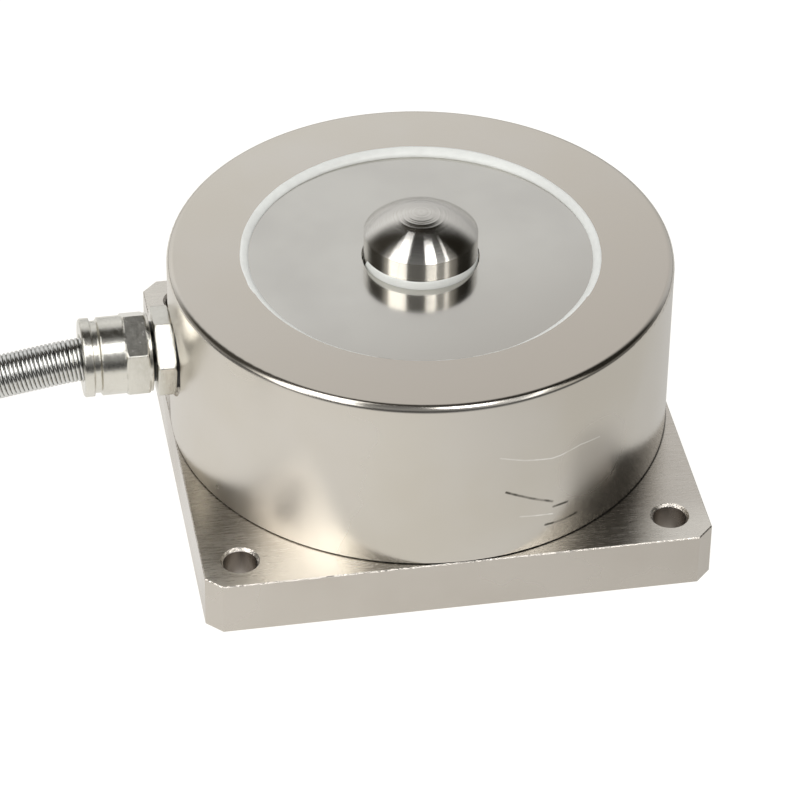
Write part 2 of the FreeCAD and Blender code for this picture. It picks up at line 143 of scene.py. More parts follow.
def coil_points():
    """Turns of even radius that step over to the next place in the last seventh of each round."""
    rounds = layer_count * turns_a_layer - 1 + (coil_leave - coil_enter) / math.tau
    step_share = 1 / 7
    widen = 1 / math.cos(math.pi / points_a_turn)
    middle_height = coil_lowest + (layer_count - 1) / 2 * turn_pitch
    points = []
    for k in range(int(rounds * points_a_turn) + 1):
        turned = k / points_a_turn
        index = int(turned)
        here = turn_place(index)
        there = turn_place(min(index + 1, layer_count * turns_a_layer - 1))
        share = max(0.0, (turned - index - 1 + step_share) / step_share)
        share = share * share * (3 - 2 * share)
        radius = here[0] + (there[0] - here[0]) * share
        height = here[1] + (there[1] - here[1]) * share
        angle = coil_enter + turned * math.tau
        from_tie = math.remainder(angle - tie_angle, math.tau) / pinch_reach
        pinch = 1 - tie_pinch * math.exp(-from_tie * from_tie)
        radius = coil_mid_radius + (radius - coil_mid_radius) * pinch
        height = middle_height + (height - middle_height) * pinch
        flat = Vector((math.cos(angle), math.sin(angle), 0)) * radius * widen
        points.append(coil_centre + flat + Vector((0, 0, height)))
    return points


def smooth_line(name, points, dia):
    """A curve object that follows its control points smoothly, as thick as a cable of that diameter."""
    data = bpy.data.curves.new(name, "CURVE")
    data.dimensions = "3D"
    spline = data.splines.new("NURBS")
    spline.points.add(len(points) - 1)
    for knot, place in zip(spline.points, points):
        knot.co = (*place, 1)
    spline.order_u = 3
    spline.use_endpoint_u = True
    spline.resolution_u = 4
    data.bevel_depth = dia / 2
    data.bevel_resolution = 4
    data.use_fill_caps = True
    line = bpy.data.objects.new(name, data)
    bpy.context.scene.collection.objects.link(line)
    return line


run_points = [Vector(p) * MM for p in run_route]
tail_points = [Vector(p) * MM for p in tail_route]
cable = smooth_line("signal_cable", run_points + coil_points() + tail_points, cable_dia)
print("cable control points:", len(cable.data.splines[0].points))

# %% [markdown]
# ## Wire guard
# Close-wound spring wire keeps the cable from kinking at the gland. The winding has to follow the same
# bend as the cable, so the cable's own middle line is read back from a copy without thickness, and a helix
# is wound round it. Turning the helix with the line's direction keeps the turns square to the cable.

# %% Wind the guard
guard_outer_dia = 9.0 * MM
wire_dia = 0.83 * MM
# A little thinner than its place, so that the turns lie side by side without meeting
wire_slack = 0.985
guard_end_x = -126.5 * MM
guard_floor = 10 * MM
steps_a_turn = 14


def middle_line(curve):
    """Points along a curve's own line, read from a copy that has no thickness."""
    data = curve.data.copy()
    data.bevel_depth = 0
    bare = bpy.data.objects.new("bare_line", data)
    mesh = bpy.data.meshes.new_from_object(bare)
    line = [v.co.copy() for v in mesh.vertices]
    bpy.data.meshes.remove(mesh)
    bpy.data.curves.remove(data)
    return line


def evenly(line, spacing):
    """The same line with points at an even spacing."""
    placed = [line[0].copy()]
    left = spacing
    for a, b in zip(line, line[1:]):
        gone = 0.0
        length = (b - a).length
        while length - gone >= left:
            gone += left
            placed.append(a.lerp(b, gone / length))
            left = spacing
        left -= length - gone
    return placed


def wind(line, radius, turn_length, angle=0.0):
    """A helix round a line that is given as evenly spaced points, from a first angle."""
    side = Vector((0, 1, 0))
    wound = []
    for before, here, after in zip(line, line[1:], line[2:]):
        ahead = (after - before).normalized()
        side = (side - ahead * side.dot(ahead)).normalized()
        over = ahead.cross(side)
        wound.append(here + (side * math.cos(angle) + over * math.sin(angle)) * radius)
        angle += math.tau * (after - here).length / turn_length
    return wound


guard_line = [p for p in middle_line(cable) if p.x > guard_end_x and p.z > guard_floor]
turn_length = wire_dia
winding = wind(evenly(guard_line, turn_length / steps_a_turn), (guard_outer_dia - wire_dia) / 2, turn_length)
guard = smooth_line("guard_spring", winding, wire_dia * wire_slack)
guard.data.splines[0].resolution_u = 1
guard.data.bevel_resolution = 2
print("guard turns:", len(winding) // steps_a_turn)

# %% [markdown]
# ## Curves become meshes
# A curve's box in Blender also counts the size of its points, which is far more than the wire's. Both
# curves are made meshes now, in their own place, and the cable keeps its middle line as a list.

# %% Make the cable and the guard meshes
def only(piece):
    """Select one object and nothing else."""
    if bpy.context.object and bpy.context.object.mode != "OBJECT":
        bpy.ops.object.mode_set(mode="OBJECT")
    bpy.ops.object.select_all(action="DESELECT")
    bpy.context.view_layer.objects.active = piece
    piece.select_set(True)


def as_mesh(piece):
    """Turn a curve object into a smooth mesh where it lies."""
    only(piece)
    bpy.ops.object.convert(target="MESH")
    bpy.ops.object.shade_smooth()
    return bpy.context.object


cable_line = middle_line(cable)
cable = as_mesh(cable)
guard = as_mesh(guard)
print("cable faces:", len(cable.data.polygons), "guard faces:", len(guard.data.polygons))

# %% [markdown]
# ## Strap round the coil
# A short woven strap holds the turns together, with its free end lapped over the top. A box of the
# bundle's size gets its four long edges rounded with a bevel, its two open ends are deleted, and Solidify
# gives the band its thickness inwards. A bevel and a solidify keep the band even all the way round, which
# moving points by hand would not.

# %% Bend the strap
strap_width = 5.0 * MM
strap_thick = 1.2 * MM
strap_corner = 2.4 * MM
strap_edge = 0.25 * MM
lap_length = 10.0 * MM
lap_shift = 0.3 * lap_length
lap_thick = 0.8 * MM
bundle = layer_count * turn_pitch
strap_middle = coil_centre + Vector((-coil_mid_radius, 0, bundle / 2))


def pick(piece, kind, test):
    """Go into edit mode with only those faces, edges or vertices selected that pass a test."""
    only(piece)
    modes = ("vertices", "edges", "polygons")
    bpy.context.tool_settings.mesh_select_mode = [kind == name for name in modes]
    for name in modes:
        for item in getattr(piece.data, name):
            item.select = name == kind and test(item)
    bpy.ops.object.mode_set(mode="EDIT")


def finish_with(piece, kind, **settings):
    """Add a modifier, set it and apply it."""
    only(piece)
    step = piece.modifiers.new(kind.lower(), kind)
    for name, value in settings.items():
        setattr(step, name, value)
    bpy.ops.object.modifier_apply(modifier=step.name)


def runs_across(edge):
    a, b = (strap.data.vertices[k].co for k in edge.vertices)
    return abs(a.y - b.y) > strap_width / 2


bpy.ops.object.select_all(action="DESELECT")
bpy.ops.mesh.primitive_cube_add(size=1, location=strap_middle, scale=(bundle, strap_width, bundle))
strap = bpy.context.object
strap.name = "coil_strap"
bpy.ops.object.transform_apply(location=True, rotation=True, scale=True)
pick(strap, "edges", runs_across)
bpy.ops.mesh.bevel(offset=strap_corner, segments=6, affect="EDGES")
pick(strap, "polygons", lambda face: abs(face.normal.y) > 0.9)
bpy.ops.mesh.delete(type="ONLY_FACE")
finish_with(strap, "SOLIDIFY", thickness=strap_thick, offset=-1)
only(strap)
bpy.ops.object.mode_set(mode="EDIT")
bpy.ops.mesh.select_all(action="DESELECT")
lap_place = strap_middle + Vector((lap_shift, 0, (bundle + lap_thick) / 2))
bpy.ops.mesh.primitive_cube_add(size=1, location=lap_place, scale=(lap_length, strap_width, lap_thick))
finish_with(strap, "BEVEL", width=strap_edge, segments=2, limit_method="ANGLE")
bpy.ops.object.shade_smooth_by_angle(angle=math.radians(40))
print("strap faces:", len(strap.data.polygons))

# %% [markdown]
# ## Flying leads
# The cable ends in a shrink sleeve, and four thin coloured leads fan out of it on to the table. Each lead
# is a smooth curve like the cable. Its last few millimetres are stripped, so three tinned strands are
# twisted round the lead's own direction with the same winding helper that made the guard.

# %% Leads and their bare tips
lead_dia = 1.3 * MM
lead_pitch = 0.7 * MM
lead_fan = 2.4 * MM
lead_names = ("red_lead", "green_lead", "white_lead", "black_lead")
sleeve_end = Vector((-118.0, -45.275, 3.0)) * MM
# Distance from the sleeve in millimetres, share of the fan, share of the height at the sleeve
lead_steps = [(0, 0, 1), (5, 0, 1), (9.5, 0.25, 0.5), (12.5, 0.55, 0.12), (15.5, 0.8, 0)]
tip_reach = 20.0 * MM
strand_dia = 0.42 * MM
strand_twist = 3.2 * MM
strand_count = 3
strand_off = 0.55 * strand_dia
tip_points = 24


def lead_points(number):
    place = number - (len(lead_names) - 1) / 2
    low = lead_dia / 2
    lift = sleeve_end.z + (low if number % 2 else -low) - low
    points = []
    for reach, fan, height in lead_steps:
        y = sleeve_end.y + place * (lead_pitch + fan * lead_fan)
        points.append(Vector((sleeve_end.x + reach * MM, y, low + height * lift)))
    tip = Vector((sleeve_end.x + tip_reach, sleeve_end.y + place * (lead_pitch + lead_fan), low))
    return points, tip


leads = {}
strands = []
for number, name in enumerate(lead_names):
    points, tip = lead_points(number)
    leads[name] = as_mesh(smooth_line(name, points, lead_dia))
    for k in range(strand_count):
        bare = [points[-1].lerp(tip, step / tip_points) for step in range(-1, tip_points + 2)]
        twisted = wind(bare, strand_off, strand_twist, math.tau * k / strand_count)
        strands.append(as_mesh(smooth_line("bare_strand", twisted, strand_dia)))
only(strands[0])
for strand in strands:
    strand.select_set(True)
bpy.ops.object.join()
lead_tips = bpy.context.object
lead_tips.name = "lead_tips"
print("leads:", list(leads), "strand faces:", len(lead_tips.data.polygons))

# %% [markdown]
# ## Sealant
# White sealant closes the slit round the cover and the foot of the button. It was laid by hand: full and
# proud at the back of the cover, sunk in the slit at the front, and missing for a short stretch at the
# button's left side. An oval section is spun into a ring. Round the cover it leans outwards, to fill the
# step up to the body's top. Weights say where the ring is full or sunk, and Displace moves it by those
# weights. A last Displace with a cloud texture takes away the machine-made evenness.

# %% Beads of sealant
cover_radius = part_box("top_cover")[1][0]
cover_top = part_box("top_cover")[1][2]
button_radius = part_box("load_button")[1][0]
spin_steps = 200
section_points = 18
flat_view = Vector((math.sin(view_azimuth), -math.cos(view_azimuth)))


def spun_bead(name, radius, height, half_width, half_height, lean=0.0):
    """A closed ring round the cell's axis, with an oval section that leans up and outwards by an angle."""
    bpy.ops.object.select_all(action="DESELECT")
    bpy.ops.mesh.primitive_circle_add(
        vertices=section_points, radius=1, location=(radius, 0, height), rotation=(math.pi / 2, -lean, 0)
    )
    bead = bpy.context.object
    bead.name = name
    bead.scale = (half_width, half_height, 1)
    bpy.ops.object.transform_apply(location=True, rotation=True, scale=True)
    pick(bead, "vertices", lambda vertex: True)
    bpy.ops.mesh.spin(steps=spin_steps, angle=math.tau, center=(0, 0, 0), axis=(0, 0, 1))
    bpy.ops.mesh.select_all(action="SELECT")
    bpy.ops.mesh.remove_doubles(threshold=0.001 * MM)
    bpy.ops.mesh.normals_make_consistent(inside=False)
    bpy.ops.object.mode_set(mode="OBJECT")
    bpy.ops.object.shade_smooth()
    return bead


def clear_step(low, high, value):
    """0 below low, 1 above high and a smooth rise between."""
    share = min(1.0, max(0.0, (value - low) / (high - low)))
    return share * share * (3 - 2 * share)


def side_angle(co):
    """Degrees round the axis from the camera's side, positive to the right."""
    flat = co.to_2d()
    return -math.degrees(flat_view.angle_signed(flat))


def move_where(bead, share, distance, direction):
    """Displace a bead along its normals or upwards, as far as a share by side angle says."""
    group = bead.vertex_groups.new(name="share")
    for vertex in bead.data.vertices:
        group.add([vertex.index], share(side_angle(vertex.co)), "REPLACE")
    finish_with(bead, "DISPLACE", strength=distance, mid_level=0, direction=direction, vertex_group="share")
    bead.vertex_groups.remove(bead.vertex_groups["share"])


def uneven(bead, depth, size):
    clouds = bpy.data.textures.new("uneven_" + bead.name, "CLOUDS")
    clouds.noise_scale = size
    finish_with(bead, "DISPLACE", texture=clouds, texture_coords="LOCAL", strength=depth, mid_level=0.5)


# For each move: its share by side angle in degrees, how far it goes, and which way
cover_moves = [
    # Full and proud at the back
    (lambda a: clear_step(95, 175, abs(a)), 0.36 * MM, "NORMAL"),
    (lambda a: clear_step(100, 170, abs(a)), 0.12 * MM, "Z"),
    # Sunk at the front
    (lambda a: 1 - clear_step(25, 80, abs(a)), -0.40 * MM, "Z"),
]
button_moves = [
    # Thin and low on the right
    (lambda a: clear_step(20, 95, a), -0.2 * MM, "NORMAL"),
    (lambda a: clear_step(20, 100, a), -0.8 * MM, "Z"),
    # Thin on the left, and missing for a stretch
    (lambda a: clear_step(-45, -80, a), -0.2 * MM, "NORMAL"),
    (lambda a: clear_step(-66, -80, a) * clear_step(-122, -104, a), -3.2 * MM, "Z"),
]
cover_bead = spun_bead(
    "cover_bead",
    radius=cover_radius + 0.58 * MM,
    height=cover_top + 0.35 * MM,
    half_width=0.93 * MM,
    half_height=0.36 * MM,
    lean=math.radians(26),
)
button_bead = spun_bead(
    "button_bead",
    radius=button_radius,
    height=cover_top + 0.03 * MM,
    half_width=0.30 * MM,
    half_height=1.62 * MM,
)
for bead, moves in ((cover_bead, cover_moves), (button_bead, button_moves)):
    for share, distance, direction in moves:
        move_where(bead, share, distance, direction)
uneven(cover_bead, depth=0.16 * MM, size=5 * MM)
uneven(button_bead, depth=0.08 * MM, size=4 * MM)
print("beads:", len(cover_bead.data.polygons), len(button_bead.data.polygons))

# %% [markdown]
# ## Shared surface effects
# The metals share a few effects: drawn lines from brushing or grinding, rings and scallops from the lathe,
# hazy patches from handling, hairlines for single marks, and fine grain on the softer materials. Rings
# change the colour, roughness and height of a surface. Scallops tilt its normal to and fro, as a round
# tool leaves it, and so spread a highlight across the rings. Each effect is a node group with its own
# inputs, so a material only says how large and how strong it is.

# %% Node helpers
def is_socket(value):
    return isinstance(value, bpy.types.NodeSocket)


def feed(socket, value):
    """Link a socket to another one, or set its own value."""
    if is_socket(value):
        socket.id_data.links.new(value, socket)
    else:
        socket.default_value = value


def add_node(tree, kind, inputs=None, **settings):
    """A node with its settings and inputs filled in."""
    node = tree.nodes.new(kind)
    for name, value in settings.items():
        setattr(node, name, value)
    for name, value in (inputs or {}).items():
        feed(node.inputs[name], value)
    return node


def fed(kind, inputs, **settings):
    """A node in the tree of the sockets that feed it."""
    tree = next(value.id_data for value in inputs.values() if is_socket(value))
    return add_node(tree, kind, inputs, **settings)


def maths(operation, *values):
    """One step of arithmetic on values or sockets."""
    return fed("ShaderNodeMath", dict(enumerate(values)), operation=operation).outputs[0]


def times(a, b):
    return maths("MULTIPLY", a, b)


def plus(a, b):
    return maths("ADD", a, b)


def vector_step(operation, *values):
    """One step of vector arithmetic. A length comes back as a number."""
    node = fed("ShaderNodeVectorMath", dict(enumerate(values)), operation=operation)
    return node.outputs["Value" if operation in ("LENGTH", "DOT_PRODUCT") else "Vector"]


def scaled(vector, factor):
    """A vector made longer, or a grey made brighter, by a factor."""
    return fed("ShaderNodeVectorMath", {0: vector, "Scale": factor}, operation="SCALE").outputs[0]


def split(vector):
    """The three parts of a vector, by name."""
    return fed("ShaderNodeSeparateXYZ", {"Vector": vector}).outputs


def flattened(vector):
    """A vector without its height."""
    return vector_step("MULTIPLY", vector, (1, 1, 0))


def span(value, from_low, from_high, to_low, to_high, curve="LINEAR"):
    """Carry a value from one span to another, and stop at its ends."""
    ends = dict(enumerate((value, from_low, from_high, to_low, to_high)))
    return fed("ShaderNodeMapRange", ends, interpolation_type=curve).outputs[0]


def blend(share, first, second):
    """A number between two numbers."""
    return fed("ShaderNodeMix", {0: share, 2: first, 3: second}).outputs[0]


def tint(share, first, second):
    """A colour between two colours."""
    first, second = (end if is_socket(end) else (*end, 1) for end in (first, second))
    return fed("ShaderNodeMix", {0: share, 6: first, 7: second}, data_type="RGBA").outputs[2]


def relief(height, depth, under=None):
    """A normal from a height between 0 and 1 that stands for a depth in metres."""
    inputs = {"Height": height, "Distance": depth, "Strength": 1.0}
    if under is not None:
        inputs["Normal"] = under
    return fed("ShaderNodeBump", inputs).outputs["Normal"]


# %% Effects as node groups
def new_group(name, inputs, outputs):
    """An empty node group, with the sockets of its inside."""
    group = bpy.data.node_groups.new(name, "ShaderNodeTree")
    for way, sockets in (("INPUT", inputs), ("OUTPUT", outputs)):
        for label, kind in sockets.items():
            group.interface.new_socket(label, in_out=way, socket_type="NodeSocket" + kind)
    return group, group.nodes.new("NodeGroupInput").outputs, group.nodes.new("NodeGroupOutput").inputs


def noise(vector, scale, detail):
    return fed("ShaderNodeTexNoise", {"Vector": vector, "Scale": scale, "Detail": detail}).outputs[0]


def lathe_path(inside):
    """Flat place, distance from the axis, and rings counted out over a top and down a wall."""
    flat = flattened(inside["Place"])
    radius = vector_step("LENGTH", flat)
    path = maths("SUBTRACT", radius, split(inside["Place"])["Z"])
    return flat, radius, times(path, inside["Rings a metre"])


drawn_lines, inside, result = new_group(
    "Drawn lines", {"Place": "Vector", "Lines a metre": "Vector"}, {"Lines": "Float"}
)
drawn = vector_step("MULTIPLY", inside["Place"], inside["Lines a metre"])
both = plus(noise(drawn, 1.0, 2.0), noise(drawn, 3.1, 1.0))
feed(result["Lines"], span(both, 0.7, 1.3, 0, 1))

turned_rings, inside, result = new_group(
    "Turned rings", {"Place": "Vector", "Rings a metre": "Float"}, {"Rings": "Float", "Radius": "Float"}
)
radius, counted = lathe_path(inside)[1:]
grooves = fed("ShaderNodeTexNoise", {"W": counted, "Scale": 1.0, "Detail": 2.0}, noise_dimensions="1D")
feed(result["Rings"], span(grooves.outputs[0], 0.3, 0.7, 0, 1))
feed(result["Radius"], radius)

lathe_scallops, inside, result = new_group(
    "Lathe scallops",
    {"Place": "Vector", "Smooth": "Vector", "Rings a metre": "Float", "Spread": "Float"},
    {"Normal": "Vector"},
)
flat_place, _, counted = lathe_path(inside)
slope = times(maths("SUBTRACT", maths("FRACT", counted), 0.5), 2)
round_axis = vector_step("NORMALIZE", vector_step("CROSS_PRODUCT", (0, 0, 1), flat_place))
along_profile = vector_step("CROSS_PRODUCT", inside["Smooth"], round_axis)
tilt = scaled(along_profile, times(slope, inside["Spread"]))
feed(result["Normal"], vector_step("NORMALIZE", vector_step("ADD", inside["Smooth"], tilt)))

hairline, inside, result = new_group(
    "Hairline", {"Spot": "Vector", "From": "Vector", "To": "Vector", "Width": "Float"}, {"Line": "Float"}
)
reach = vector_step("SUBTRACT", inside["To"], inside["From"])
off_start = vector_step("SUBTRACT", inside["Spot"], inside["From"])
covered = vector_step("DOT_PRODUCT", off_start, reach)
whole = vector_step("DOT_PRODUCT", reach, reach)
along = span(maths("DIVIDE", covered, whole), 0, 1, 0, 1)
off_line = vector_step("LENGTH", vector_step("SUBTRACT", off_start, scaled(reach, along)))
feed(result["Line"], span(maths("DIVIDE", off_line, inside["Width"]), 0.2, 1, 1, 0))

hazy_patches, inside, result = new_group(
    "Hazy patches", {"Place": "Vector", "Patches a metre": "Float"}, {"Haze": "Float"}
)
cloud = noise(inside["Place"], inside["Patches a metre"], 3.0)
feed(result["Haze"], span(cloud, 0.3, 0.7, 0, 1, "SMOOTHSTEP"))

fine_grain, inside, result = new_group(
    "Fine grain", {"Place": "Vector", "Grains a metre": "Float"}, {"Grain": "Float"}
)
grit = noise(inside["Place"], inside["Grains a metre"], 4.0)
feed(result["Grain"], span(grit, 0.25, 0.75, 0, 1))


def effect(group, **inputs):
    """Place a shared effect in a material. Input names are given with low lines for spaces."""
    named = {name.replace("_", " "): value for name, value in inputs.items()}
    return fed("ShaderNodeGroup", named, node_tree=group).outputs


print("effects:", [g.name for g in bpy.data.node_groups])

# %% [markdown]
# ## Metals
# Plate, body, covers, button and gland are all bright metal, and they only differ in how they were worked.
# The plate was brushed in one direction, the body was turned and then polished, the cover was ground, and
# the button shows its lathe marks. Those marks spread a highlight across themselves, which draws the fan
# of streaks on the button's dome, so its shader is anisotropic with a tangent that runs round the axis. A
# imported mesh has small flat facets that would break a polished highlight. So the rim's round and the dome
# take their normals from the circle and the sphere that they were turned to. Smears and marks, where hands
# touched the steel, are changes of roughness and tint. One side of the body's top and of the cover is
# darkened with painted shade.

# %% Start of a finish
finishes = {}
body_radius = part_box("sensing_body")[1][1]
body_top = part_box("sensing_body")[1][2]
plate_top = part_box("base_plate")[1][2]
joint_dark = (0.02, 0.02, 0.02)
# Painted shade: the top is darkest on this side
painted_shade_toward = Vector((0.35, -0.94, 0))


def new_finish(name, metallic, roughness):
    """A material in the list of finishes, with its tree, its shader's inputs and Object coordinates."""
    finishes[name] = bpy.data.materials.new(name)
    finishes[name].use_nodes = True
    tree = finishes[name].node_tree
    sockets = tree.nodes["Principled BSDF"].inputs
    sockets["Metallic"].default_value = metallic
    sockets["Roughness"].default_value = roughness
    return tree, sockets, add_node(tree, "ShaderNodeTexCoord").outputs["Object"]


def mesh_normal(tree):
    return add_node(tree, "ShaderNodeNewGeometry").outputs["Normal"]


def over_mesh_normal(share, worked_out):
    """The mesh's own normal, and a worked-out one where a share is 1."""
    normals = {0: share, 4: mesh_normal(share.id_data), 5: worked_out}
    return fed("ShaderNodeMix", normals, data_type="VECTOR").outputs[1]


def joint_line(sideways, distance, near, far, left, middle):
    """1 away from the joint of plate and body, and a low share in it that is higher on the left."""
    shade = span(sideways, -0.6 * body_radius, 0, left, middle)
    return span(distance, near, far, shade, 1)


def painted_shade_side(place, low, high):
    """0 on one side of the top and 1 on the side darkened with painted shade, between two distances from the
    middle.
    """
    return span(vector_step("DOT_PRODUCT", place, painted_shade_toward), low, high, 0, 1)


# %% Brushed plate
hole_place = 42.5 * MM
hole_radius = 3.3 * MM
# Strips of the top made paler as a painted highlight, along Y: where they begin and where they are full
painted_bright_strips = [(-38 * MM, -45 * MM), (0, 20 * MM)]
painted_bright_share = 0.75
# The left end of the top is rougher, along X: full, and gone
rough_end = (-44 * MM, -33 * MM)
brush_depth = 0.009 * MM
ragged_depth = 0.12 * MM

tree, sockets, place = new_finish("plate_steel", 1, 0.3)
axes = split(place)
lines = effect(drawn_lines, Place=place, Lines_a_metre=(190, 3400, 3400))["Lines"]
grain = effect(fine_grain, Place=place, Grains_a_metre=1500)["Grain"]
haze = effect(hazy_patches, Place=place, Patches_a_metre=55)["Haze"]
upward = split(mesh_normal(tree))["Z"]
on_top = span(upward, 0.8, 0.95, 0, 1)
worked = blend(on_top, span(haze, 0, 1, 0.35, 0.65), lines)
steel = tint(worked, (0.545, 0.505, 0.45), (0.69, 0.65, 0.595))
# Painted highlight: two strips of the top are paler
painted_bright = 0.0
for begin, full in painted_bright_strips:
    painted_bright = plus(painted_bright, span(axes["Y"], begin, full, 0, painted_bright_share))
steel = tint(times(painted_bright, on_top), steel, (0.80, 0.765, 0.70))
# Painted shade: the walls of the plate's holes are darker
off_hole = vector_step("ABSOLUTE", place)
off_hole = vector_step("SUBTRACT", off_hole, (hole_place, hole_place, 0))
off_hole = vector_step("LENGTH", flattened(off_hole))
painted_hole_shade = span(off_hole, hole_radius + 0.02 * MM, hole_radius + 0.1 * MM, 0.42, 0)
steel = tint(painted_hole_shade, steel, (0.26, 0.235, 0.23))
radius = vector_step("LENGTH", flattened(place))
near, far = body_radius + 0.05 * MM, body_radius + 0.3 * MM
joint = joint_line(axes["X"], radius, near, far, 0.62, 0.12)
joint = maths("MAXIMUM", joint, maths("SUBTRACT", 1, on_top))
feed(sockets["Base Color"], tint(joint, joint_dark, steel))
rougher = times(span(axes["X"], *rough_end, 0.07, 0), on_top)
brushed = plus(span(worked, 0, 1, 0.17, 0.29), rougher)
feed(sockets["Roughness"], plus(brushed, span(haze, 0, 1, -0.04, 0.05)))
on_edge = span(upward, 0.35, 0.5, 0, 1)
on_edge = times(on_edge, span(upward, 0.8, 0.95, 1, 0))
ragged = relief(times(grain, on_edge), ragged_depth)
feed(sockets["Normal"], relief(times(lines, on_top), brush_depth, ragged))
print("plate:", len(tree.nodes), "nodes")

# %% Marks and rim of the body
rim_round = 1.4 * MM
rim_near = 0.2 * MM
# Points along each handling mark: degrees round the axis from the front, millimetres above the table
bright_marks = [
    [(7.7, 35.8), (13.6, 33.9), (20.1, 32.4), (22.5, 32.3), (28.0, 32.8), (33.7, 32.2)],
    [(12.9, 20.2), (21.0, 18.4)],
]
dark_marks = [
    [(9.3, 27.1), (15.5, 24.0), (20.9, 21.5)],
    [(21.2, 20.1), (25.0, 19.9)],
    [(19.3, 16.2), (23.3, 15.8), (27.8, 16.0)],
]
bright_width = 0.22 * MM
dark_width = 0.38 * MM
# Smears where a hand held the body: middle in the same measures, then how far from it they are full and
# where they have gone, in millimetres, and the roughness they add
smears = [(-39.5, 20.5, 3, 13, 0.17), (32.5, 28.5, 0, 13, 0.25)]


def on_wall(degrees, height):
    """A point of the body's wall, unrolled flat."""
    return Vector((math.radians(degrees) * body_radius, height * MM, 0))


def marked(spot, marks, width):
    """1 on a set of hairline marks and 0 beside them."""
    total = 0.0
    for points in marks:
        ends = [on_wall(*point) for point in points]
        for start, end in zip(ends, ends[1:]):
            line = effect(hairline, Spot=spot, From=start, To=end, Width=width)["Line"]
            total = maths("MAXIMUM", total, line)
    return total


def true_rim(place, radius, height):
    """Normals of the rim's round, worked out from its circle, so that its highlight runs without facets."""
    outside = maths("SUBTRACT", radius, body_radius - rim_round)
    above = maths("SUBTRACT", height, body_top - rim_round)
    outward = vector_step("NORMALIZE", flattened(place))
    outward = scaled(outward, maths("MAXIMUM", outside, 0))
    upward = fed("ShaderNodeCombineXYZ", {"Z": maths("MAXIMUM", above, 0)}).outputs[0]
    turned = vector_step("NORMALIZE", vector_step("ADD", outward, upward))
    wide, high = (maths("GREATER_THAN", past, -rim_near) for past in (outside, above))
    return over_mesh_normal(times(wide, high), turned)


# %% Turned and polished body
tree, sockets, place = new_finish("body_steel", 1, 0.12)
axes = split(place)
height = axes["Z"]
turned = effect(turned_rings, Place=place, Rings_a_metre=4200)
haze = effect(hazy_patches, Place=place, Patches_a_metre=38)["Haze"]
grain = effect(fine_grain, Place=place, Grains_a_metre=420)["Grain"]
angle = maths("ARCTAN2", axes["X"], times(axes["Y"], -1))
unrolled = {"X": times(angle, body_radius), "Y": height}
spot = fed("ShaderNodeCombineXYZ", unrolled).outputs[0]
on_top = span(height, body_top - 0.25 * MM, body_top - 0.02 * MM, 0, 1)
on_side = span(turned["Radius"], body_radius - 0.3 * MM, body_radius - 0.02 * MM, 0, 1)
steel = tint(haze, (0.655, 0.615, 0.545), (0.69, 0.655, 0.60))
# Painted shade darkens one side of the top
painted_shade = times(painted_shade_side(place, -body_radius, body_radius), on_top)
steel = tint(painted_shade, steel, (0.535, 0.49, 0.43))
broken = span(grain, 0.3, 0.7, 0.45, 1)
bright = times(marked(spot, bright_marks, bright_width), broken)
steel = tint(bright, steel, (0.93, 0.91, 0.86))
dark = times(marked(spot, dark_marks, dark_width), broken)
steel = tint(dark, steel, (0.07, 0.065, 0.05))
near, far = plate_top + 0.1 * MM, plate_top + 0.28 * MM
joint = joint_line(axes["X"], height, near, far, 0.55, 0.1)
feed(sockets["Base Color"], tint(joint, joint_dark, steel))
side_rough = span(axes["X"], -0.5 * body_radius, 0.5 * body_radius, 0.12, 0.05)
side_rough = times(on_side, side_rough)
rough = plus(span(on_top, 0, 1, 0.16, 0.21), side_rough)
for degrees, level, full, gone, extra in smears:
    off_smear = vector_step("SUBTRACT", spot, on_wall(degrees, level))
    off_smear = vector_step("LENGTH", off_smear)
    smear = span(off_smear, full * MM, gone * MM, extra, 0, "SMOOTHSTEP")
    rough = plus(rough, smear)
feed(sockets["Roughness"], plus(rough, span(haze, 0, 1, -0.02, 0.02)))
rim = true_rim(place, turned["Radius"], height)
feed(sockets["Normal"], relief(turned["Rings"], 0.0006 * MM, rim))
print("body:", len(tree.nodes), "nodes")

# %% Ground cover
tree, sockets, place = new_finish("cover_steel", 1, 0.15)
turned = effect(turned_rings, Place=place, Rings_a_metre=5200)
haze = effect(hazy_patches, Place=place, Patches_a_metre=45)["Haze"]
steel = tint(haze, (0.575, 0.56, 0.525), (0.635, 0.62, 0.58))
# Painted shade darkens one side of the cover
painted_shade = painted_shade_side(place, 0.2 * cover_radius, cover_radius)
feed(sockets["Base Color"], tint(painted_shade, steel, (0.51, 0.49, 0.45)))
feed(sockets["Roughness"], span(haze, 0, 1, 0.12, 0.17))
feed(sockets["Normal"], relief(turned["Rings"], 0.0004 * MM))
print("cover:", len(tree.nodes), "nodes")

# %% Turned button
button_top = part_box("load_button")[1][2]
dome_radius = 16.0 * MM
dome_foot = 54.65 * MM
mark_depth = 0.016 * MM


def true_dome(place):
    """Normals of the dome from its sphere, and the plain ones on the wall below it."""
    centre = Vector((0, 0, button_top - dome_radius))
    from_centre = vector_step("NORMALIZE", vector_step("SUBTRACT", place, centre))
    on_dome = maths("GREATER_THAN", split(place)["Z"], dome_foot)
    return over_mesh_normal(on_dome, from_centre)


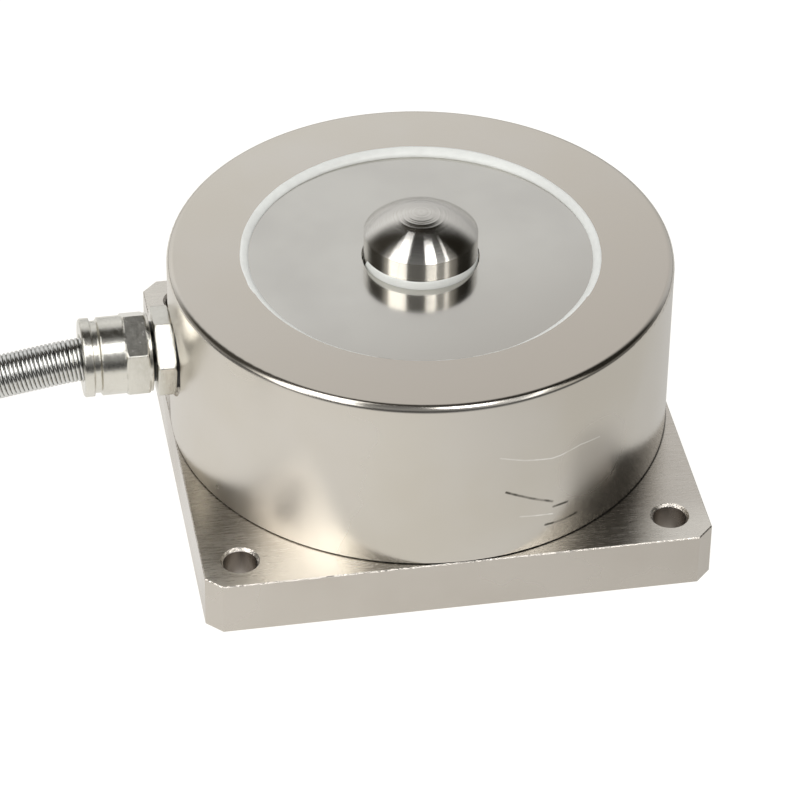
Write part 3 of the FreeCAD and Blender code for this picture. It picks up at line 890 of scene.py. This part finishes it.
tree, sockets, place = new_finish("button_steel", 1, 0.16)
turned = effect(turned_rings, Place=place, Rings_a_metre=3800)
radius, rings = turned["Radius"], turned["Rings"]
patchy = effect(hazy_patches, Place=place, Patches_a_metre=260)["Haze"]
fine_spread = span(radius, 5.0 * MM, 6.2 * MM, 0.04, 0.20)
step_spread = span(radius, 5.0 * MM, 5.6 * MM, 0.045, 0.01)
step_spread = times(step_spread, span(radius, 1.2 * MM, 2.6 * MM, 0.1, 1))
step_spread = times(step_spread, span(patchy, 0, 1, 0.3, 1.2))
normal = true_dome(place)
for count, spread in ((9000, fine_spread), (820, step_spread)):
    tilted = effect(lathe_scallops, Place=place, Smooth=normal, Rings_a_metre=count, Spread=spread)
    normal = tilted["Normal"]
feed(sockets["Base Color"], tint(rings, (0.60, 0.58, 0.54), (0.67, 0.65, 0.61)))
feed(sockets["Roughness"], span(rings, 0, 1, 0.08, 0.13))
ring_marks = effect(turned_rings, Place=place, Rings_a_metre=1300)["Rings"]
ring_marks = times(ring_marks, span(radius, 4.6 * MM, 5.4 * MM, 1, 0.1))
feed(sockets["Normal"], relief(ring_marks, mark_depth, normal))
# Its grooves run round the cell's axis
sockets["Anisotropic"].default_value = 0.8
sockets["Anisotropic Rotation"].default_value = 0.25
tangent = add_node(tree, "ShaderNodeTangent", direction_type="RADIAL", axis="Z")
feed(sockets["Tangent"], tangent.outputs[0])
print("button:", len(tree.nodes), "nodes")

# %% Nickel, wire and screws
# The gland's nut stops short of its hexagon, and the neck in that gap is darkened with painted shade
nut_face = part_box("gland_nut")[1][0]
nut_gap = 0.8 * MM
worn_edge = 0.5 * MM

tree, sockets, place = new_finish("gland_nickel", 1, 0.2)
lines = effect(drawn_lines, Place=place, Lines_a_metre=(2600, 700, 700))["Lines"]
grain = effect(fine_grain, Place=place, Grains_a_metre=1100)["Grain"]
haze = effect(hazy_patches, Place=place, Patches_a_metre=120)["Haze"]
nickel = tint(haze, (0.68, 0.66, 0.595), (0.77, 0.75, 0.685))
nickel = tint(span(grain, 0.45, 0.8, 0, 0.5), nickel, (0.78, 0.765, 0.71))
# Painted shade on the neck between the nut and its hexagon
past_nut = maths("SUBTRACT", split(place)["X"], nut_face)
painted_neck_shade = span(past_nut, 0.02 * MM, 0.06 * MM, 0, 1)
before_hexagon = span(past_nut, nut_gap - 0.06 * MM, nut_gap - 0.02 * MM, 1, 0)
painted_neck_shade = times(painted_neck_shade, before_hexagon)
feed(sockets["Base Color"], tint(painted_neck_shade, nickel, (0.03, 0.03, 0.027)))
rough = plus(span(lines, 0, 1, 0.16, 0.23), span(grain, 0, 1, 0, 0.06))
feed(sockets["Roughness"], rough)
edges = add_node(tree, "ShaderNodeBevel", {"Radius": worn_edge}, samples=6).outputs[0]
feed(sockets["Normal"], relief(grain, 0.008 * MM, edges))

tree, sockets, place = new_finish("guard_wire", 1, 0.15)
lines = effect(drawn_lines, Place=place, Lines_a_metre=(9000, 1500, 1500))["Lines"]
feed(sockets["Base Color"], tint(lines, (0.62, 0.62, 0.60), (0.75, 0.75, 0.73)))
feed(sockets["Roughness"], span(lines, 0, 1, 0.12, 0.22))

tree, sockets, place = new_finish("screw_steel", 1, 0.35)
grain = effect(fine_grain, Place=place, Grains_a_metre=2500)["Grain"]
feed(sockets["Base Color"], tint(grain, (0.10, 0.10, 0.10), (0.19, 0.19, 0.185)))
feed(sockets["Roughness"], span(grain, 0, 1, 0.3, 0.48))
print("metals:", list(finishes))

# %% [markdown]
# ## Sealant, rubber and plastics
# The soft materials need only a base colour that drifts a little, a grain and a roughness of their own.
# One recipe makes most of them, and its values say whether it is a smooth sealant, a matt jacket or a
# pressed board. The strap is woven, so its threads are counted along and across the band.

# %% Grainy and woven finishes
thread_pitch = 0.55 * MM
# Dark and light colour, grains a metre, lowest and highest roughness, depth of the grain in millimetres
soft_finishes = {
    "white_sealant": ((0.70, 0.705, 0.675), (0.79, 0.80, 0.765), 700, 0.35, 0.5, 0.02),
    "black_rubber": ((0.012, 0.012, 0.012), (0.03, 0.03, 0.03), 3000, 0.5, 0.75, 0.01),
    "cable_jacket": ((0.045, 0.045, 0.048), (0.075, 0.075, 0.078), 2600, 0.38, 0.55, 0.012),
    "sleeve_plastic": ((0.015, 0.015, 0.016), (0.035, 0.035, 0.036), 1800, 0.4, 0.6, 0.02),
    "core_insulation": ((0.46, 0.03, 0.03), (0.56, 0.05, 0.04), 2500, 0.25, 0.4, 0.004),
    "board_laminate": ((0.02, 0.13, 0.05), (0.05, 0.22, 0.10), 1500, 0.3, 0.45, 0.006),
    "gauge_film": ((0.50, 0.22, 0.05), (0.66, 0.34, 0.09), 2000, 0.3, 0.5, 0.004),
    "harness_film": ((0.52, 0.33, 0.11), (0.66, 0.45, 0.18), 1800, 0.3, 0.5, 0.006),
    "red_lead": ((0.42, 0.02, 0.02), (0.55, 0.04, 0.03), 2500, 0.25, 0.4, 0.004),
    "green_lead": ((0.02, 0.20, 0.06), (0.03, 0.29, 0.09), 2500, 0.25, 0.4, 0.004),
    "white_lead": ((0.72, 0.72, 0.70), (0.80, 0.80, 0.78), 2500, 0.25, 0.4, 0.004),
    "black_lead": ((0.012, 0.012, 0.012), (0.03, 0.03, 0.03), 2500, 0.25, 0.4, 0.004),
}


def grainy(name, dark, light, grains, rough_low, rough_high, depth):
    tree, sockets, place = new_finish(name, 0, rough_high)
    grain = effect(fine_grain, Place=place, Grains_a_metre=grains)["Grain"]
    haze = effect(hazy_patches, Place=place, Patches_a_metre=grains / 8)["Haze"]
    drift = span(plus(grain, haze), 0, 2, 0, 1)
    feed(sockets["Base Color"], tint(drift, dark, light))
    feed(sockets["Roughness"], span(haze, 0, 1, rough_low, rough_high))
    feed(sockets["Normal"], relief(grain, depth * MM))


for name, values in soft_finishes.items():
    grainy(name, *values)

# The strap's threads cross along and across the band
tree, sockets, place = new_finish("tie_plastic", 0, 0.75)
axes = split(place)
along = plus(axes["X"], axes["Z"])
threads = math.tau / thread_pitch
warp = maths("SINE", times(axes["Y"], threads))
weft = maths("SINE", times(along, threads))
weave = span(times(warp, weft), -1, 1, 0, 1)
feed(sockets["Base Color"], tint(weave, (0.012, 0.012, 0.013), (0.04, 0.04, 0.042)))
feed(sockets["Roughness"], span(weave, 0, 1, 0.85, 0.6))
feed(sockets["Normal"], relief(weave, 0.06 * MM))

node_slot = {row["node"]: row["material_slot"] for row in frame["record"]["subparts"]}
for name, node in nodes.items():
    node.material_slots[0].material = finishes[node_slot[name]]
print("finishes:", len(finishes))

# %% [markdown]
# ## Floor and light
# The cell stands on a seamless white sweep in a darkened studio. Polished metal shows the studio itself,
# so the room is built from what the bright bands on the button, the rim and the gland tell: tall leaning
# soft boxes on the left, a small one high beside the camera, a thin strip on the right, light that they
# spill beside them, a dim grey front, a pale wall behind and dark space between. Only a round of the table
# is lit, because the metal mirrors where it ends. Rays that only light matt surfaces get one plain grey
# instead, which keeps the white sealant at its written colour.

# %% Floor
plate_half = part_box("base_plate")[1][0]
# The lit part of the table lies mostly behind the cell: its middle, and where it starts and ends to fade
table_middle = -0.25 * flat_view.to_3d()
table_edge = (0.38, 0.52)
unlit_share = 0.06
# Along X the table gets dimmer from left to right
dimming_ends = (-0.09, 0.10)
dimming = (0.95, 0.64)
camera_white = 1.15
shade_under_plate = 0.27
shade_inset = (8 * MM, 6 * MM)
glow_share = 0.86


def mirror_ray(path):
    """1 for rays that come from a mirror or through glass, and 0 for the rest."""
    return maths("MAXIMUM", path["Is Glossy Ray"], path["Is Transmission Ray"])


bpy.ops.object.select_all(action="DESELECT")
bpy.ops.mesh.primitive_plane_add(size=6, location=(0, 0, 0))
floor = bpy.context.object
floor.name = "floor"
floor_white = bpy.data.materials.new("floor_white")
floor_white.use_nodes = True
tree = floor_white.node_tree
tree.nodes.clear()
place = add_node(tree, "ShaderNodeTexCoord").outputs["Object"]
path = add_node(tree, "ShaderNodeLightPath").outputs
axes = split(place)
under_plate = 1.0
for axis in ("X", "Y"):
    off_middle = maths("ABSOLUTE", axes[axis])
    within = span(off_middle, *(plate_half - inset for inset in shade_inset), 1, 0)
    under_plate = times(under_plate, within)
lit = span(axes["X"], *dimming_ends, *dimming, "SMOOTHSTEP")
from_middle = vector_step("LENGTH", vector_step("SUBTRACT", place, table_middle))
lit = times(lit, span(from_middle, *table_edge, 1, unlit_share))
brightness = blend(path["Is Camera Ray"], lit, camera_white)
brightness = times(brightness, span(under_plate, 0, 1, 1, shade_under_plate))
matt = add_node(tree, "ShaderNodeBsdfDiffuse", {"Color": (0.82, 0.82, 0.81, 1)})
glow = add_node(tree, "ShaderNodeEmission", {"Color": (1, 0.985, 0.955, 1), "Strength": brightness})
seen = maths("MAXIMUM", path["Is Camera Ray"], mirror_ray(path))
shaders = {0: times(seen, glow_share), 1: matt.outputs[0], 2: glow.outputs[0]}
sweep = add_node(tree, "ShaderNodeMixShader", shaders)
add_node(tree, "ShaderNodeOutputMaterial", {"Surface": sweep.outputs[0]})
floor.data.materials.append(floor_white)
print("floor lit within", table_edge[1], "m of", table_middle)

# %% Tones of the room
plain_level = 0.55
# Height of a direction's point on the unit sphere, and how bright the wall and the front are there
wall_tones = [(0.0, 0.70), (0.34, 0.74), (0.53, 0.88), (0.62, 0.81), (1.0, 0.76)]
front_tones = [
    (0.0, 0.02), (0.18, 0.06), (0.38, 0.22), (0.60, 0.29), (0.80, 0.185), (0.95, 0.135), (1.0, 0.08),
]
# The dark sides, on the left and on the right
dark_tones = ((0.050, 0.045, 0.037), (0.016, 0.014, 0.010))
# Near the table they are paler: the tones there, and the heights where these are full and have gone
low_side_tones = ((0.30, 0.29, 0.27), (0.16, 0.155, 0.145))
low_side_edge = (0.16, 0.46)
# Share of a direction that points backwards, where the pale wall has gone and where it is full
wall_edge = (0.40, 0.70)
# Degrees from straight before, where the grey front has gone and where it is full, on the left and right
front_gone = (88, 80)
front_full = (78, 60)
# Light that the lamps spill on the sides: degrees to the right of the camera, half its width, its grey
spills = [(-64, 15, 1.10), (67, 12, 0.55)]
spill_warmth = (1, 0.97, 0.92)
# Heights between which the spilled light rises, and between which it falls again
spill_rise = (0.15, 0.40)
spill_fall = (0.75, 0.95)


def tone_by_height(height, tones):
    """A colour ramp over height with one grey at each stop."""
    ramp = fed("ShaderNodeValToRGB", {"Fac": height})
    stops = ramp.color_ramp.elements
    for place, grey in tones[1:-1]:
        stops.new(place)
    for stop, (place, grey) in zip(stops, tones):
        stop.position = place
        stop.color = (grey, grey, grey, 1)
    return ramp.outputs["Color"]


def cosines(degrees):
    return [math.cos(math.radians(angle)) for angle in degrees]


# %% Room
room = bpy.data.worlds.new("room")
room.use_nodes = True
bpy.context.scene.world = room
tree = room.node_tree
tree.nodes.clear()
direction = add_node(tree, "ShaderNodeTexCoord").outputs["Generated"]
height = split(direction)["Z"]
level = vector_step("NORMALIZE", flattened(direction))
view_level = flat_view.to_3d()
toward_view = vector_step("DOT_PRODUCT", level, view_level)
sideways = vector_step("DOT_PRODUCT", level, level_right)
backwards = times(vector_step("DOT_PRODUCT", direction, view_level), -1)
rightward = span(sideways, -0.8, 0.4, 0, 1)
low_side = span(height, *low_side_edge, 1, 0, "SMOOTHSTEP")
studio = tint(low_side, tint(rightward, *dark_tones), tint(rightward, *low_side_tones))
gone, full = (span(sideways, -0.5, 0.5, *cosines(edge)) for edge in (front_gone, front_full))
front = span(toward_view, gone, full, 0, 1, "SMOOTHSTEP")
front_tone = scaled(tone_by_height(height, front_tones), span(sideways, 0.25, 0.6, 1, 2.6))
studio = tint(front, studio, front_tone)
rises = span(height, *spill_rise, 0, 1, "SMOOTHSTEP")
spill_height = times(rises, span(height, *spill_fall, 1, 0, "SMOOTHSTEP"))
for degrees, half_width, grey in spills:
    middle = Quaternion((0, 0, 1), math.radians(degrees)) @ view_level
    spill = vector_step("DOT_PRODUCT", level, middle)
    spill = span(spill, math.cos(math.radians(half_width)), 1, 0, 1, "SMOOTHSTEP")
    spill = times(spill, spill_height)
    studio = tint(spill, studio, [grey * share for share in spill_warmth])
wall = span(backwards, *wall_edge, 0, 1, "SMOOTHSTEP")
wall_tone = scaled(tone_by_height(height, wall_tones), span(sideways, -0.8, 0.8, 1.25, 0.80))
studio = tint(wall, studio, wall_tone)
path = add_node(tree, "ShaderNodeLightPath").outputs
shown = tint(mirror_ray(path), (plain_level, plain_level, plain_level), studio)
shown = tint(path["Is Camera Ray"], shown, (1, 1, 1))
backdrop = add_node(tree, "ShaderNodeBackground", {"Color": shown, "Strength": 1.0})
add_node(tree, "ShaderNodeOutputWorld", {"Surface": backdrop.outputs[0]})
bpy.context.scene.view_settings.view_transform = "Standard"
print("room of", len(wall_tones), "wall tones and", len(spills), "spills")

# %% Soft boxes
lamp_distance = 1.1
# Name, degrees to the right of the camera, elevation, lean, width and height in metres, radiance
lamps = [
    ("left_panel", -56, 36, -9, 0.31, 1.20, 2.2),
    ("left_strip", -43, 50, -22, 0.28, 1.45, 2.7),
    ("high_box", 27, 57, 12, 0.28, 0.50, 5.6),
    ("right_strip", 57, 42, 28, 0.085, 0.90, 2.2),
]


def soft_box(name, azimuth, elevation, lean, width, height, radiance):
    """A rectangular lamp that faces the cell."""
    around = view_azimuth + math.radians(azimuth)
    rise = math.radians(elevation)
    toward = Vector((math.sin(around) * math.cos(rise), -math.cos(around) * math.cos(rise), math.sin(rise)))
    bpy.ops.object.light_add(type="AREA", location=toward * lamp_distance)
    lamp = bpy.context.object
    lamp.name = name
    lamp.rotation_mode = "QUATERNION"
    lamp.rotation_quaternion = toward.to_track_quat("Z", "Y") @ Quaternion((0, 0, 1), -math.radians(lean))
    lamp.data.shape = "RECTANGLE"
    lamp.data.size = width
    lamp.data.size_y = height
    lamp.data.energy = radiance * math.pi * width * height
    lamp.visible_camera = False


for values in lamps:
    soft_box(*values)

# %% [markdown]
# ## Tie everything to the frame
# Each new piece rides on the cell, takes the place of its plain solid and names the finish it is made in.

# %% Hand over
def hand_over(piece, finish, slot, *replaced):
    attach(piece, "root")
    if replaced:
        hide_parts(*replaced)
    piece.data.materials.clear()
    piece.data.materials.append(finishes[finish])


hand_over(cable, "cable_jacket", "cable_jacket", "cable_run", "cable_coil", "cable_tail")
hand_over(guard, "guard_wire", "guard_wire", "spring_guard")
hand_over(strap, "tie_plastic", "tie_plastic", "coil_tie")
for name, lead in leads.items():
    hand_over(lead, name, "core_insulation", "end_cores")
hand_over(lead_tips, "guard_wire", "guard_wire")
hand_over(cover_bead, "white_sealant", "white_sealant", "cover_seal")
hand_over(button_bead, "white_sealant", "white_sealant", "button_seal")
